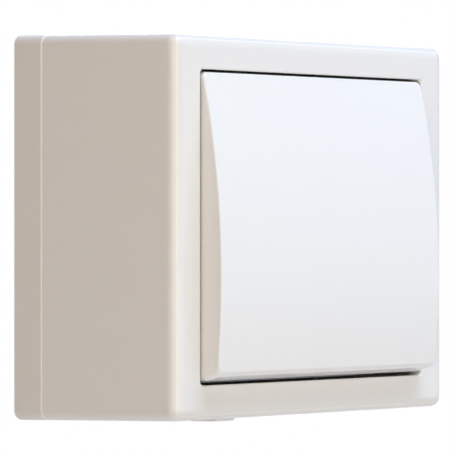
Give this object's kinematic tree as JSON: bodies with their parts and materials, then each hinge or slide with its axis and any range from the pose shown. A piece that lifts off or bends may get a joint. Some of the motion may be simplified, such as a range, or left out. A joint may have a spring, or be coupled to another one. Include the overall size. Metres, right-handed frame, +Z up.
{
  "type": "surface mounted light switch",
  "caption": "Square surface mounted light switch: a deep drafted wall box with a large bowed rocker that tilts between its two positions.",
  "frame": {"origin": "centre of the face that lies on the wall, midway between the wall slots", "axes": "+Y into the wall, so the rocker looks along -Y; +Z up; +X to the right seen from the room"},
  "size_m": [0.0788, 0.0536, 0.08],
  "materials": {
    "base_plate": "satin white thermoplastic",
    "cable_grommet": "soft matt grey",
    "housing": "glossy white thermoplastic",
    "rocker": "glossy white thermoplastic",
    "rocker_carrier": "matt light grey nylon",
    "plunger": "matt natural nylon",
    "plunger_spring": "drawn spring wire",
    "support_bracket": "zinc-plated sheet steel",
    "bracket_screws": "zinc-plated steel",
    "mechanism_body": "matt off-white thermoset",
    "mechanism_cover": "matt off-white thermoset",
    "mechanism_rivets": "bright steel",
    "contact_seesaw": "bare copper",
    "moving_contacts": "silver",
    "common_terminal": "bare brass",
    "way_one_terminal": "bare brass",
    "way_two_terminal": "bare brass",
    "fixed_contacts": "silver",
    "terminal_clamps": "bare brass",
    "terminal_screws": "zinc-plated steel"
  },
  "bodies": {
    "box": {"base_plate": "base_plate", "cable_grommet": "cable_grommet", "housing": "housing", "support_bracket": "support_bracket", "bracket_screws": "bracket_screws", "mechanism_body": "mechanism_body", "mechanism_cover": "mechanism_cover", "mechanism_rivets": "mechanism_rivets", "common_terminal": "common_terminal", "way_one_terminal": "way_one_terminal", "way_two_terminal": "way_two_terminal", "fixed_contacts": "fixed_contacts", "terminal_clamps": "terminal_clamps", "terminal_screws": "terminal_screws"},
    "key": {"rocker": "rocker", "rocker_carrier": "rocker_carrier", "plunger": "plunger", "plunger_spring": "plunger_spring"},
    "blade": {"contact_seesaw": "contact_seesaw", "moving_contacts": "moving_contacts"}
  },
  "joints": [
    {"name": "rocker_tilt", "type": "hinge", "parent": "box", "child": "key", "pos_m": [0, -0.0405, 0], "axis": [1, 0, 0], "range_deg": [0, 8.2]},
    {"name": "blade_tilt", "type": "hinge", "parent": "box", "child": "blade", "pos_m": [0, -0.025, 0], "axis": [1, 0, 0], "range_deg": [-12.3, 0]}
  ],
  "couplings": [
    {"joint": "blade_tilt", "follows": "rocker_tilt", "ratio": -1.5}
  ]
}
